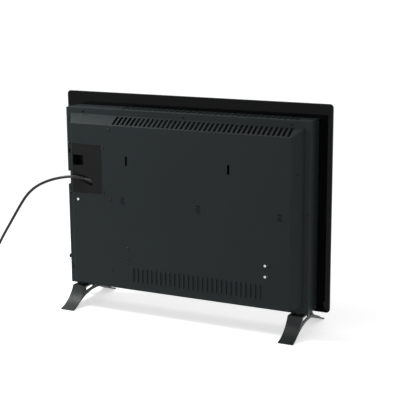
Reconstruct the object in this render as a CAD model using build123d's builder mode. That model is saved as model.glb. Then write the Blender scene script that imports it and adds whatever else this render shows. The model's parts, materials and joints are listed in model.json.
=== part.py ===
from build123d import *
import math
import os

os.makedirs("parts", exist_ok=True)

# Glass convector heater on two feet. All sizes are in millimetres.
# X runs along the heater, -Y is the glass side, +Y the cover side, and Z is up from the floor.
# The origin lies on the floor, midway between the toes and midway along the glass.

# Stance and glass
toe_reach = 103.5
toe_depth = 4.5
glass_back_y = -21.5
glass_bottom = 44.0
glass_width = 700.0
glass_height = 486.5
glass_thickness = 5.0
glass_corner = 9.0
glass_bevel = 0.8
adhesive_thickness = 1.2
adhesive_width = 10.0
adhesive_inset = 14.0

# Casing
casing_width = 637.0
casing_height = 445.0
casing_depth = 56.5
casing_rise = 8.5
casing_corner = 1.8
casing_sheet = 1.0
top_lip = 14.5
side_lip = 12.5
bottom_lip = 14.5
tray_flange = 16.0
fit_gap = 0.3

# Rear cover
cover_sheet = 0.8
cover_rise = 33.0
pan_half_width = 306.0
plateau_half_width = 285.6
pan_bottom = 67.0
pan_top = 483.0
plateau_top = 464.0
pan_edge_radius = 1.2

# Grilles, louvres and slots
grille_right = -277.0
grille_left = 170.0
top_slot_count = 32
top_slot_length = 34.0
top_slot_width = 6.5
top_slot_middle = 23.0
bevel_slot_count = 38
bevel_slot_length = 31.0
bevel_slot_width = 6.4
bevel_slot_corner = 1.2
intake_slot_count = 28
intake_slot_length = 30.0
louvre_count = 28
louvre_left = 121.0
louvre_right = -212.0
louvre_middle_z = 102.5
louvre_length = 37.0
louvre_width = 7.6
louvre_height = 2.6
louvre_mouth = 1.8
hook_slot_spacing = 267.0
hook_slot_z = 381.0
hook_slot_length = 24.0
hook_slot_width = 6.0
lance_places = [(147.5, 283.0), (-55.0, 281.0), (-259.0, 280.5)]
lance_spacing = 10.5
lance_length = 10.0
lance_width = 3.6
lance_height = 2.0
flange_slot_x = 312.5
flange_slot_z = 389.0
flange_slot_length = 12.0
flange_slot_width = 4.5
bevel_hole_z = 100.5
bevel_hole_length = 13.0
bevel_hole_width = 5.0
notch_bottom = 305.0
notch_top = 338.0
notch_depth = 14.0

# Control housing
housing_right = 201.4
housing_bottom = 293.5
housing_top = 414.5
housing_wall = 2.5
housing_rim = 8.0
pocket_left = 282.2
pocket_right = 253.0
pocket_bottom = 360.7
pocket_top = 387.0
pocket_depth = 27.0
scoop_half_width = 6.6

# Cord
cord_diameter = 7.0
cord_exit = (228.0, 62.0, 323.0)
cord_heading = (26.0, 6.5, 7.0)
relief_length = 20.0
relief_big_radius = 5.2
relief_small_radius = 4.0
gland_radius = 6.2
tie_thickness = 0.7
tie_clearance = 0.2
tie_width = 8.0
coil_centre = (659.8, -33.0)
coil_outer_radius = 47.6
turn_gap = 0.6
plug_radius = 18.5
plug_height = 22.0
pin_radius = 2.4
pin_length = 19.0
pin_spacing = 19.0

# Feet
foot_middle = 290.6
foot_width = 36.0
foot_plate_top = 48.2
foot_plate_thickness = 2.6
foot_skin = 2.4
foot_rib = 2.6
foot_arch_z = 31.0
foot_heel_y = 45.2
foot_nose_y = -20.8
foot_knee_y = 75.0
foot_knee_z = 11.3
foot_boss_radius = 6.5
foot_screw_y = (4.0, 24.0)

# Fasteners
screw_radius = 1.75
screw_hole = 0.15
screw_length = 8.0
head_radius = 3.4
head_height = 2.0
foot_screw_radius = 2.0
foot_screw_length = 11.0
rivet_radius = 3.0

# Heating element
element_y = 30.0
element_z = 153.0
element_left = 133.5
element_right = -233.5
core_radius = 5.0
core_clearance = 0.1
core_length = 372.0
fin_tube_radius = 8.5
fin_reach = 30.0
fin_thickness = 1.6
fin_count = 6
fin_pitch = 11.0
fin_cut_width = 1.6
fin_cut_start = 14.0
fin_margin = 12.0
bracket_sheet = 1.2
bracket_height = 50.0
bracket_flange = 20.0
insulator_radius = 7.5
insulator_collar = 10.5
shield_standoff = 12.0
shield_sheet = 0.6

# Controls
partition_x = 172.0
partition_sheet = 0.8
partition_flange = 16.0
board_thickness = 1.6
board_left = 292.0
board_right = 198.0
board_bottom = 122.0
board_top = 262.0
standoff_height = 8.0
display_x = 245.0
display_z = 450.0
display_width = 46.0
display_height = 18.0
sensor_y = 25.0
sensor_z = 117.0
sensor_radius = 5.0
sensor_reach = 8.5
tilt_x = 235.0
tilt_y = 5.0
rocker_swing = 16.0
pendulum_swing = 25.0

# Values worked out from the ones above
glass_middle_z = glass_bottom + glass_height / 2
casing_bottom = glass_bottom + casing_rise
casing_top = casing_bottom + casing_height
casing_middle_z = casing_bottom + casing_height / 2
half_casing = casing_width / 2
tray_front_y = glass_back_y + adhesive_thickness
tray_back_y = tray_front_y + casing_sheet
flange_y = glass_back_y + casing_depth
lip_back_y = flange_y - cover_sheet
plateau_y = flange_y + cover_rise
plateau_inner_y = plateau_y - cover_sheet
bevel_run = pan_half_width - plateau_half_width
bevel_slant = math.hypot(cover_rise, pan_top - plateau_top)
clear_screw = screw_radius + screw_hole


def facing_rear(y):
    """Sketch plane at depth y with X to the right and Z up; extruding by minus goes to +Y."""
    return Plane.XZ.offset(-y)


def spread(first, last, count):
    """Evenly spaced places from first to last."""
    return [first + (last - first) * i / (count - 1) for i in range(count)]


def pan_screws(places, turn, shank_radius=screw_radius, length=screw_length):
    """Pan head screws with a cross recess; each head stands off its place along the turned Z."""
    recess_depth = head_height * 0.6
    with Locations(*[Location(place, turn) for place in places]):
        Cylinder(head_radius, head_height * 0.5, align=(Align.CENTER, Align.CENTER, Align.MIN))
        with Locations((0, 0, head_height * 0.5)):
            Cone(head_radius, head_radius * 0.7, head_height * 0.5,
                 align=(Align.CENTER, Align.CENTER, Align.MIN))
        Cylinder(shank_radius, length, align=(Align.CENTER, Align.CENTER, Align.MAX))
        with Locations((0, 0, head_height)):
            Box(head_radius, head_radius * 0.25, recess_depth * 2, mode=Mode.SUBTRACT)
            Box(head_radius * 0.25, head_radius, recess_depth * 2, mode=Mode.SUBTRACT)


def keep(part, name):
    """Labels a finished piece and writes it to its own file."""
    part.label = name
    export_step(part, f"parts/{name}.step")


rear_turn = (-90, 0, 0)
front_turn = (90, 0, 0)
left_turn = (0, 90, 0)
right_turn = (0, -90, 0)
down_turn = (180, 0, 0)

# Fastener places on the back
top_screw_z = casing_top - top_lip / 2
side_screw_x = half_casing - side_lip * 0.4
side_screw_levels = (92.5, 283.5, 471.7)
flange_screw_places = [(x, flange_y, top_screw_z) for x in (-272.0, 0.0, 272.0)]
flange_screw_places += [(side * side_screw_x, flange_y, z) for side in (-1, 1) for z in side_screw_levels]
flange_screw_places += [(side_screw_x, flange_y, 408.7)]
partition_screw_x = partition_x + partition_flange / 2
cover_screw_places = [(partition_screw_x, plateau_y, z) for z in (105.0, 282.6, 453.0)]
element_screw_levels = (140.0, 166.0)
element_screw_places = [(element_left, plateau_y, z) for z in element_screw_levels]
element_screw_places += [(element_right, plateau_y, z) for z in element_screw_levels]
rivet_right_x = -225.4
rivet_places = [(rivet_right_x, plateau_y, z) for z in element_screw_levels]
rivet_places += [(270.5, plateau_y, 277.0)]
housing_screw_x = housing_right - 1.2 - head_radius * 0.5
housing_screw_places = [(housing_screw_x, plateau_y, z) for z in (housing_bottom + 6, housing_top - 6)]
side_wall_screws = [(-12.0, casing_bottom + 7.5), (-12.0, casing_top - 7.5), (18.2, casing_top - 8.5)]
bevel_screw_place = (-(pan_half_width + plateau_half_width) / 2, (flange_y + plateau_y) / 2, 378.0)
bevel_turn = (-90, -math.degrees(math.atan2(cover_rise, bevel_run)), 0)

# Glass panel: toughened glass with ground edges, held by its back face.
with BuildPart() as glass_panel:
    with BuildSketch(facing_rear(glass_back_y)):
        with Locations((0, glass_middle_z)):
            RectangleRounded(glass_width, glass_height, glass_corner)
    extrude(amount=glass_thickness)
    rims = glass_panel.faces().filter_by(Axis.Y).edges()
    chamfer(rims, glass_bevel)
keep(glass_panel.part, "glass_panel")

# Silicone beads between the glass and the tray behind it.
bead_x = half_casing - adhesive_inset
bead_z = casing_height / 2 - adhesive_inset
with BuildPart() as glass_adhesive:
    with BuildSketch(facing_rear(glass_back_y)):
        with Locations((-bead_x, casing_middle_z), (bead_x, casing_middle_z), (0, casing_middle_z)):
            RectangleRounded(adhesive_width, casing_height - 4 * adhesive_inset, adhesive_width * 0.4)
        with Locations((0, casing_middle_z - bead_z), (0, casing_middle_z + bead_z)):
            RectangleRounded(casing_width - 4 * adhesive_inset, adhesive_width, adhesive_width * 0.4)
    extrude(amount=-adhesive_thickness)
keep(glass_adhesive.part, "glass_adhesive")

# Glass carrier: a steel tray glued to the glass, with flanges turned back inside the casing.
tray_width = casing_width - 2 * (casing_sheet + fit_gap)
tray_height = casing_height - 2 * (casing_sheet + fit_gap)
board_holes = [(x, z) for x in (board_right + 6, board_left - 6) for z in (board_bottom + 6, board_top - 6)]
with BuildPart() as glass_carrier:
    with BuildSketch(facing_rear(tray_front_y)):
        with Locations((0, casing_middle_z)):
            RectangleRounded(tray_width, tray_height, casing_corner)
    extrude(amount=-tray_flange)
    with BuildSketch(facing_rear(tray_back_y)):
        with Locations((0, casing_middle_z)):
            RectangleRounded(tray_width - 2 * casing_sheet, tray_height - 2 * casing_sheet,
                             casing_corner - casing_sheet)
    extrude(amount=-tray_flange, mode=Mode.SUBTRACT)
    with BuildSketch(facing_rear(tray_front_y)):
        with Locations((display_x, display_z)):
            Rectangle(display_width + 2, display_height + 2)
    extrude(amount=-casing_sheet, mode=Mode.SUBTRACT)
    with Locations(*[Location((0, y, z), left_turn) for y, z in side_wall_screws]):
        Cylinder(clear_screw, casing_width, mode=Mode.SUBTRACT)
keep(glass_carrier.part, "glass_carrier")

# Casing: sheet steel wrapped round all four sides, with lips turned in at the back.
shell_depth = lip_back_y - tray_front_y
intake_y = (tray_front_y + tray_flange + lip_back_y) / 2
intake_xs = spread(grille_right, grille_left, intake_slot_count)
top_slot_xs = spread(grille_right, grille_left, top_slot_count)
foot_holes = [(side * foot_middle, y) for side in (-1, 1) for y in foot_screw_y]
with BuildPart() as casing:
    with BuildSketch(facing_rear(tray_front_y)):
        with Locations((0, casing_middle_z)):
            RectangleRounded(casing_width, casing_height, casing_corner)
            RectangleRounded(casing_width - 2 * casing_sheet, casing_height - 2 * casing_sheet,
                             casing_corner - casing_sheet, mode=Mode.SUBTRACT)
    extrude(amount=-shell_depth)
    with BuildSketch(facing_rear(lip_back_y)):
        with Locations((0, casing_middle_z)):
            RectangleRounded(casing_width, casing_height, casing_corner)
        with Locations((0, casing_middle_z + (bottom_lip - top_lip) / 2)):
            Rectangle(casing_width - 2 * side_lip, casing_height - top_lip - bottom_lip, mode=Mode.SUBTRACT)
    extrude(amount=casing_sheet)
    with BuildSketch(Plane.XY.offset(casing_top)):
        with Locations(*[(x, glass_back_y + top_slot_middle) for x in top_slot_xs]):
            SlotOverall(top_slot_length, top_slot_width, rotation=90)
    extrude(amount=-2 * casing_sheet, mode=Mode.SUBTRACT)
    with BuildSketch(Plane.XY.offset(casing_bottom - casing_sheet)):
        with Locations(*[(x, intake_y) for x in intake_xs]):
            SlotOverall(intake_slot_length, top_slot_width, rotation=90)
        with Locations(*foot_holes):
            Circle(foot_screw_radius + screw_hole)
    extrude(amount=3 * casing_sheet, mode=Mode.SUBTRACT)
    with Locations(*[Location(place, rear_turn) for place in flange_screw_places]):
        Cylinder(clear_screw, 4 * casing_sheet, mode=Mode.SUBTRACT)
    with Locations(*[Location((0, y, z), left_turn) for y, z in side_wall_screws]):
        Cylinder(clear_screw, casing_width + 2, mode=Mode.SUBTRACT)
    with Locations(Location((half_casing, sensor_y, sensor_z), left_turn)):
        Cylinder(sensor_radius - 1 + fit_gap, 6 * casing_sheet, mode=Mode.SUBTRACT)
    with Locations((half_casing, lip_back_y, (notch_bottom + notch_top) / 2)):
        Box(2 * side_lip, 2 * notch_depth, notch_top - notch_bottom, mode=Mode.SUBTRACT)
    with BuildSketch(facing_rear(lip_back_y)):
        with Locations((flange_slot_x, flange_slot_z)):
            SlotOverall(flange_slot_length, flange_slot_width, rotation=90)
    extrude(amount=2 * casing_sheet, mode=Mode.SUBTRACT)
keep(casing.part, "casing")

# Rear cover: a pan pressed out of one sheet, with a flat flange all round.
# The top and sides are bevelled and the bottom wall stands square.
bevel_middle = Vector(0, (flange_y + plateau_y) / 2, (pan_top + plateau_top) / 2)
bevel_normal = Vector(0, pan_top - plateau_top, cover_rise)
bevel_plane = Plane(origin=bevel_middle, x_dir=(1, 0, 0), z_dir=bevel_normal)
side_bevel_normal = Vector(cover_rise, bevel_run, 0)
side_bevel_x = (pan_half_width + plateau_half_width) / 2
side_bevel_plane = Plane(origin=(side_bevel_x, (flange_y + plateau_y) / 2, 0), x_dir=(0, 0, 1),
                         z_dir=side_bevel_normal)
with BuildPart() as pan:
    with BuildSketch(facing_rear(flange_y)):
        with Locations((0, (pan_bottom + pan_top) / 2)):
            Rectangle(2 * pan_half_width, pan_top - pan_bottom)
    with BuildSketch(facing_rear(plateau_y)):
        with Locations((0, (pan_bottom + plateau_top) / 2)):
            Rectangle(2 * plateau_half_width, plateau_top - pan_bottom)
    loft(ruled=True)
    outer_edges = pan.edges().filter_by(lambda edge: edge.center().Y > flange_y + 1)
    fillet(outer_edges, pan_edge_radius)
    mouth = pan.faces().sort_by(Axis.Y)[0]
    offset(amount=-cover_sheet, openings=mouth)
louvre_xs = spread(louvre_left, louvre_right, louvre_count)
opening_left = plateau_half_width - pan_edge_radius
with BuildPart() as rear_cover:
    with BuildSketch(facing_rear(flange_y)):
        with Locations((0, casing_middle_z)):
            RectangleRounded(casing_width, casing_height, casing_corner)
        with Locations((0, (pan_bottom + pan_top) / 2)):
            Rectangle(2 * pan_half_width, pan_top - pan_bottom, mode=Mode.SUBTRACT)
    extrude(amount=cover_sheet)
    add(pan.part)
    # Collar that carries the pan's wall down to the front face of the flange
    with BuildSketch(facing_rear(flange_y)):
        with Locations((0, (pan_bottom + pan_top) / 2)):
            Rectangle(2 * pan_half_width, pan_top - pan_bottom)
            Rectangle(2 * (pan_half_width - cover_sheet), pan_top - pan_bottom - 2 * cover_sheet,
                      mode=Mode.SUBTRACT)
    extrude(amount=cover_sheet)
    # Outlet slots through the top bevel
    with BuildSketch(bevel_plane):
        with Locations(*[(x, 0) for x in spread(grille_right, grille_left, bevel_slot_count)]):
            RectangleRounded(bevel_slot_width, bevel_slot_length, bevel_slot_corner)
    extrude(amount=5 * cover_sheet, both=True, mode=Mode.SUBTRACT)
    # Raised louvres: each hood is closed at both ends and along one side
    with BuildSketch(facing_rear(plateau_y)):
        with Locations(*[(x, louvre_middle_z) for x in louvre_xs]):
            SlotOverall(louvre_length, louvre_width, rotation=90)
    extrude(amount=-louvre_height, taper=30)
    with BuildSketch(facing_rear(plateau_inner_y)):
        with Locations(*[(x, louvre_middle_z) for x in louvre_xs]):
            SlotOverall(louvre_length - 2 * cover_sheet, louvre_width - 2 * cover_sheet, rotation=90)
    extrude(amount=-louvre_height, taper=30, mode=Mode.SUBTRACT)
    mouth_places = [(x + louvre_width / 2, plateau_y + louvre_mouth / 2, louvre_middle_z) for x in louvre_xs]
    with Locations(*mouth_places):
        Box(louvre_width * 0.6, louvre_mouth, louvre_length - 3 * louvre_width / 2, mode=Mode.SUBTRACT)
    # Lanced bridges in pairs
    bridge_places = [(x, z + side * lance_spacing / 2) for x, z in lance_places for side in (-1, 1)]
    with Locations(*[(x, plateau_y + lance_height / 2, z) for x, z in bridge_places]):
        Box(lance_length, lance_height, lance_width)
    with Locations(*[(x, plateau_inner_y + lance_height / 2, z) for x, z in bridge_places]):
        Box(lance_length - 3 * cover_sheet, lance_height, lance_width * 1.8, mode=Mode.SUBTRACT)
    # Slots for two wall hooks
    with BuildSketch(facing_rear(plateau_y)):
        with Locations((-hook_slot_spacing / 2, hook_slot_z), (hook_slot_spacing / 2, hook_slot_z)):
            SlotOverall(hook_slot_length, hook_slot_width, rotation=90)
    extrude(amount=2 * cover_sheet, mode=Mode.SUBTRACT)
    # Opening for the control housing's face
    with BuildSketch(facing_rear(plateau_y)):
        with Locations(((housing_right + opening_left) / 2, (housing_bottom + housing_top) / 2)):
            Rectangle(opening_left - housing_right, housing_top - housing_bottom)
    extrude(amount=2 * cover_sheet, mode=Mode.SUBTRACT)
    # Slot in the flange, slot in the side bevel and the notch that the cord passes
    with BuildSketch(facing_rear(flange_y)):
        with Locations((flange_slot_x, flange_slot_z)):
            SlotOverall(flange_slot_length, flange_slot_width, rotation=90)
        with Locations((half_casing, (notch_bottom + notch_top) / 2)):
            Rectangle(side_lip, notch_top - notch_bottom)
    extrude(amount=2 * cover_sheet, mode=Mode.SUBTRACT)
    with BuildSketch(side_bevel_plane):
        with Locations((bevel_hole_z, 0)):
            SlotOverall(bevel_hole_length, bevel_hole_width)
    extrude(amount=3 * cover_sheet, both=True, mode=Mode.SUBTRACT)
    # Holes for screws and rivets
    rear_holes = flange_screw_places + cover_screw_places + element_screw_places
    rear_holes += rivet_places + housing_screw_places
    hole_places = [Location(place, rear_turn) for place in rear_holes]
    hole_places += [Location(bevel_screw_place, bevel_turn)]
    with Locations(*hole_places):
        Cylinder(clear_screw, 4 * cover_sheet, mode=Mode.SUBTRACT)
keep(rear_cover.part, "rear_cover")

# Control housing: a moulding behind the cover whose face stands flush in the cover's opening.
heading = Vector(*cord_heading).normalized()
exit_point = Vector(*cord_exit)
face_left = opening_left - fit_gap
face_right = housing_right + fit_gap
rim_left = opening_left - cover_sheet
rim_right = housing_right - housing_rim
exit_plane = Plane(origin=exit_point, x_dir=(0, -heading.Z, heading.Y), z_dir=heading)
pocket_x = (pocket_left + pocket_right) / 2
pocket_z = (pocket_bottom + pocket_top) / 2
pocket_floor_y = plateau_y - pocket_depth
switch_width = 15.0
switch_height = 21.0
scoop_block_length = 66.0
scoop_block_shift = 20.0
scoop_reach = 90.0
with BuildPart() as control_housing:
    with BuildSketch(facing_rear(plateau_y)):
        with Locations(((face_left + face_right) / 2, (housing_bottom + housing_top) / 2)):
            Rectangle(face_left - face_right, housing_top - housing_bottom - 2 * fit_gap)
    extrude(amount=cover_sheet + housing_wall)
    with BuildSketch(facing_rear(plateau_inner_y)):
        with Locations(((rim_left + rim_right) / 2, (housing_bottom + housing_top) / 2)):
            Rectangle(rim_left - rim_right, housing_top - housing_bottom + 2 * housing_rim)
    extrude(amount=housing_wall)
    # Box behind the switch pocket
    with BuildSketch(facing_rear(plateau_inner_y)):
        with Locations((pocket_x, pocket_z)):
            Rectangle(pocket_left - pocket_right + 2 * housing_wall,
                      pocket_top - pocket_bottom + 2 * housing_wall)
    extrude(amount=pocket_depth - cover_sheet + housing_wall)
    # Block behind the cord's scoop
    with BuildSketch(facing_rear(plateau_inner_y)):
        with Locations((exit_point.X + scoop_block_shift, exit_point.Z + 2 * housing_wall)):
            Rectangle(scoop_block_length, 2 * scoop_half_width + 5 * housing_wall)
    extrude(amount=plateau_inner_y - exit_point.Y + scoop_half_width + housing_wall)
    # Pocket, its switch hole and the scoop that widens round the cord
    with BuildSketch(facing_rear(plateau_y)):
        with Locations((pocket_x, pocket_z)):
            RectangleRounded(pocket_left - pocket_right, pocket_top - pocket_bottom, 1.5)
    extrude(amount=pocket_depth, mode=Mode.SUBTRACT)
    with BuildSketch(facing_rear(pocket_floor_y)):
        with Locations((pocket_x, pocket_z)):
            Rectangle(switch_width - 2 + fit_gap, switch_height - 2 + fit_gap)
    extrude(amount=2 * housing_wall, mode=Mode.SUBTRACT)
    with BuildSketch(exit_plane):
        Circle(scoop_half_width)
        with Locations((-scoop_reach / 4, 0)):
            Rectangle(scoop_reach / 2, 2 * scoop_half_width)
    extrude(amount=scoop_reach, mode=Mode.SUBTRACT)
    with BuildSketch(exit_plane):
        Circle(gland_radius - 2 + fit_gap / 2)
    extrude(amount=-scoop_reach, mode=Mode.SUBTRACT)
    with Locations(*[Location(place, rear_turn) for place in housing_screw_places]):
        Cylinder(clear_screw, 12, mode=Mode.SUBTRACT)
keep(control_housing.part, "control_housing")

# Mains rocker switch: its bezel stands on the pocket's floor and its body passes through it.
switch_back = 14.0
blade_length = 7.0
blade_width = 6.3
blade_sheet = 0.8
blade_spacing = 6.0
bezel_height = 1.5
rocker_width = 10.4
rocker_half = 7.6
axle_radius = 1.2
axle_clearance = 0.05
axle_y = pocket_floor_y - 1.5
with BuildPart() as switch_body:
    with BuildSketch(facing_rear(pocket_floor_y)):
        with Locations((pocket_x, pocket_z)):
            RectangleRounded(switch_width, switch_height, 1)
    extrude(amount=-bezel_height)
    with BuildSketch(facing_rear(pocket_floor_y)):
        with Locations((pocket_x, pocket_z)):
            Rectangle(switch_width - 2, switch_height - 2)
    extrude(amount=switch_back)
    with BuildSketch(facing_rear(pocket_floor_y + bezel_height)):
        with Locations((pocket_x, pocket_z)):
            Rectangle(rocker_width + 4 * fit_gap, 2 * rocker_half + 3)
    extrude(amount=10, mode=Mode.SUBTRACT)
    with Locations(Location((pocket_x, axle_y, pocket_z), left_turn)):
        Cylinder(axle_radius + axle_clearance, switch_width + 2, mode=Mode.SUBTRACT)
keep(switch_body.part, "switch_body")

# The rocker rests with its lower end pressed in, and tips over its axle to the other side.
with BuildPart() as switch_rocker:
    with BuildSketch(Plane(origin=(pocket_x, axle_y, pocket_z), x_dir=(0, 1, 0), z_dir=(1, 0, 0))):
        Circle(4)
        Polygon((3.6, 0), (4.8, rocker_half), (-0.5, rocker_half), (-3, 0), (-0.5, -rocker_half),
                (4.8, -rocker_half), align=None)
    extrude(amount=rocker_width / 2, both=True)
    with Locations(Location((pocket_x, axle_y, pocket_z), left_turn)):
        Cylinder(axle_radius, switch_width - 2.4)
rest_tilt = Pos(pocket_x, axle_y, pocket_z) * Rot(-rocker_swing / 2, 0, 0)
rest_tilt = rest_tilt * Pos(-pocket_x, -axle_y, -pocket_z)
keep(rest_tilt * switch_rocker.part, "switch_rocker")

with BuildPart() as switch_terminals:
    blade_y = pocket_floor_y - switch_back - blade_length / 2
    with Locations(*[(pocket_x, blade_y, pocket_z + blade_spacing * i) for i in (-1, 0, 1)]):
        Box(blade_width, blade_length, blade_sheet)
keep(switch_terminals.part, "switch_terminals")

# Bush and tapered sleeve that the cord comes out of
gland_flange = 2.5
with BuildPart() as cord_gland:
    with BuildSketch(exit_plane):
        Circle(gland_radius)
    extrude(amount=gland_flange)
    with BuildSketch(exit_plane):
        Circle(gland_radius - 2)
    extrude(amount=-16)
    front_rim = cord_gland.edges().sort_by(lambda edge: -(edge.center() - exit_point).dot(heading))[0]
    fillet(front_rim, 0.8)
keep(cord_gland.part, "cord_gland")

relief_plane = Plane(origin=exit_point + heading * gland_flange, z_dir=heading)
with BuildPart() as strain_relief:
    with BuildSketch(relief_plane):
        Circle(relief_big_radius)
    with BuildSketch(relief_plane.offset(relief_length)):
        Circle(relief_small_radius)
    loft()
keep(strain_relief.part, "strain_relief")

# Mains cord: the stretch from the sleeve down to the floor, rising a little before it falls
coil_low_z = tie_thickness + tie_clearance + cord_diameter / 2
coil_high_z = coil_low_z + cord_diameter + turn_gap
cord_start = exit_point + heading * (gland_flange + relief_length)
cord_end = Vector(coil_centre[0] - coil_outer_radius, coil_centre[1] + cord_diameter, coil_low_z)
cord_points = [
    cord_start,
    cord_start + heading * 18,
    Vector(294.0, 78.0, 333.0),
    Vector(334.0, 82.5, 324.0),
    Vector(374.0, 84.0, 307.5),
    Vector(404.0, 84.5, 285.5),
    Vector(427.0, 84.0, 258.0),
    Vector(466.0, 83.5, 200.0),
    Vector(505.0, 82.0, 143.0),
    Vector(533.0, 79.0, 86.0),
    Vector(552.0, 74.0, 38.5),
    Vector(570.0, 58.0, 7.0),
    Vector(600.0, 36.0, coil_low_z),
    Vector(cord_end.X, 4.0, coil_low_z),
    cord_end,
]


def bend_radii(points):
    """The largest arc that each corner's two runs leave room for."""
    radii = []
    for before, corner, after in zip(points, points[1:], points[2:]):
        turn = math.radians((corner - before).get_angle(after - corner))
        shorter = min((corner - before).length, (after - corner).length)
        radii.append(0.45 * shorter / math.tan(turn / 2))
    return radii


cord_radii = bend_radii(cord_points)
print("cord radii:", [round(r) for r in cord_radii])
with BuildPart() as power_cord:
    with BuildLine() as cord_path:
        FilletPolyline(*cord_points, radius=cord_radii)
    cord_wire = cord_path.wires()[0]
    with BuildSketch(Plane(origin=cord_wire @ 0, z_dir=cord_wire % 0)):
        Circle(cord_diameter / 2)
    sweep(path=cord_wire)
cord_section = math.pi * cord_diameter ** 2 / 4
print("free stretch", round(cord_wire.length), "volume share",
      round(power_cord.part.volume / (cord_section * cord_wire.length), 4))
keep(power_cord.part, "power_cord")

# Put-away coil: winds in on the lower layer, climbs while it reverses, and winds out on top
turn_pitch = cord_diameter + turn_gap
low_turns = 1.75
climb_turns = 0.5
high_turns = 1.25
reverse_turn = low_turns + climb_turns / 2
all_turns = low_turns + climb_turns + high_turns
start_angle = 180.0
plug_lead = 26.0


def coil_point(turns):
    """Place on the coil after so many turns, with the direction the cord runs there."""
    angle = math.radians(start_angle + 360 * turns)
    inward = turn_pitch * (reverse_turn - abs(turns - reverse_turn))
    radius = coil_outer_radius - inward
    drift = 0 if abs(turns - reverse_turn) < 1e-6 else -math.copysign(turn_pitch, reverse_turn - turns)
    climbed = min(max((turns - low_turns) / climb_turns, 0), 1)
    height = coil_low_z + turn_pitch * climbed ** 2 * (3 - 2 * climbed)
    rise = turn_pitch * 6 * climbed * (1 - climbed) / climb_turns
    outward = Vector(math.cos(angle), math.sin(angle), 0)
    place = Vector(*coil_centre, height) + outward * radius
    way = Vector(drift * math.cos(angle) - 2 * math.pi * radius * math.sin(angle),
                 drift * math.sin(angle) + 2 * math.pi * radius * math.cos(angle), rise)
    return place, way.normalized()


def biarc_joint(start, start_way, end, end_way):
    """Where two arcs meet that carry the cord smoothly from one place to the next."""
    span = end - start
    ways = start_way + end_way
    share = 2 * (1 - start_way.dot(end_way))
    reach = (-span.dot(ways) + math.sqrt(span.dot(ways) ** 2 + share * span.dot(span))) / share
    return (start + end + (start_way - end_way) * reach) * 0.5


coil_steps = round(all_turns * 4)
coil_nodes = [coil_point(step / 4) for step in range(coil_steps + 1)]
first_node, first_way = coil_nodes[0]
last_node, last_way = coil_nodes[-1]
lead_in = Vector(0, -1, 0)
lead_out = Vector(0, 1, 0)
coil_nodes[0] = (first_node, lead_in)
coil_nodes[-1] = (last_node, lead_out)
coil_end = last_node + lead_out * plug_lead
with BuildPart() as cord_coil:
    with BuildLine() as coil_path:
        Line(cord_end, first_node)
        for (start, start_way), (end, end_way) in zip(coil_nodes, coil_nodes[1:]):
            joint = biarc_joint(start, start_way, end, end_way)
            first_arc = TangentArc(start, joint, tangent=start_way)
            TangentArc(joint, end, tangent=first_arc % 1)
        Line(last_node, coil_end)
    coil_wire = coil_path.wires()[0]
    with BuildSketch(Plane(origin=cord_end, z_dir=lead_in)):
        Circle(cord_diameter / 2)
    sweep(path=coil_wire)
coil_length = coil_wire.length
sample_count = 600
samples = [coil_wire @ (i / sample_count) for i in range(sample_count + 1)]
skip = math.ceil(3 * cord_diameter / (coil_length / sample_count))
nearest = min((here - there).length for i, here in enumerate(samples) for there in samples[i + skip:])
print("coil length", round(coil_length), "least gap to itself", round(nearest - cord_diameter, 2))
print("coil volume share", round(cord_coil.part.volume / (cord_section * coil_length), 4))
keep(cord_coil.part, "cord_coil")

# Strap round the coil's turns
tie_turns = (0.75, 1.75, reverse_turn + 0.75)
tie_radii = [coil_outer_radius - turn_pitch * (reverse_turn - abs(t - reverse_turn)) for t in tie_turns]
tie_angle = math.radians(start_angle + 360 * tie_turns[0])
tie_out = Vector(math.cos(tie_angle), math.sin(tie_angle), 0)
tie_side = tie_clearance + cord_diameter / 2
tie_inner = (min(tie_radii) - tie_side, max(tie_radii) + tie_side)
tie_top = coil_high_z + tie_side
tie_centre = Vector(*coil_centre, 0) + tie_out * ((tie_inner[0] + tie_inner[1]) / 2)
tie_plane = Plane(origin=tie_centre, x_dir=tie_out, z_dir=(-tie_out.Y, tie_out.X, 0))
tie_flip = 1 if tie_plane.y_dir.Z > 0 else -1
with BuildPart() as cord_tie:
    with BuildSketch(tie_plane):
        with Locations((0, tie_flip * (tie_thickness + tie_top) / 2)):
            RectangleRounded(tie_inner[1] - tie_inner[0] + 2 * tie_thickness, tie_top + tie_thickness, 3)
            RectangleRounded(tie_inner[1] - tie_inner[0], tie_top - tie_thickness, 2, mode=Mode.SUBTRACT)
    extrude(amount=tie_width / 2, both=True)
keep(cord_tie.part, "cord_tie")

# Plug lying on its back with its pins up; the cord enters it from the side.
nose_length = 22.0
plug_y = coil_end.Y + nose_length + plug_radius
clip_width = 5.0
clip_groove = 1.5
clip_sheet = 0.8
with BuildPart() as plug_body:
    with BuildSketch(Plane.XY):
        with Locations((coil_end.X, plug_y)):
            Circle(plug_radius)
    extrude(amount=plug_height)
    rims = plug_body.edges().filter_by(GeomType.CIRCLE)
    fillet(rims, 1.5)
    with BuildSketch(Plane(origin=coil_end, z_dir=lead_out)):
        Circle(cord_diameter / 2 + 1.5)
    with BuildSketch(Plane(origin=coil_end + lead_out * (nose_length + 6), z_dir=lead_out)):
        Circle(coil_high_z - 2)
    loft()
    with Locations((coil_end.X - plug_radius, plug_y, plug_height / 2),
                   (coil_end.X + plug_radius, plug_y, plug_height / 2)):
        Box(2 * clip_groove, clip_width + 2 * fit_gap, plug_height, mode=Mode.SUBTRACT)
keep(plug_body.part, "plug_body")

with BuildPart() as plug_pins:
    with Locations((coil_end.X - pin_spacing / 2, plug_y, plug_height),
                   (coil_end.X + pin_spacing / 2, plug_y, plug_height)):
        Cylinder(pin_radius, pin_length, align=(Align.CENTER, Align.CENTER, Align.MIN))
    tips = plug_pins.edges().group_by(Axis.Z)[-1]
    fillet(tips, pin_radius * 0.8)
keep(plug_pins.part, "plug_pins")

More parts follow.
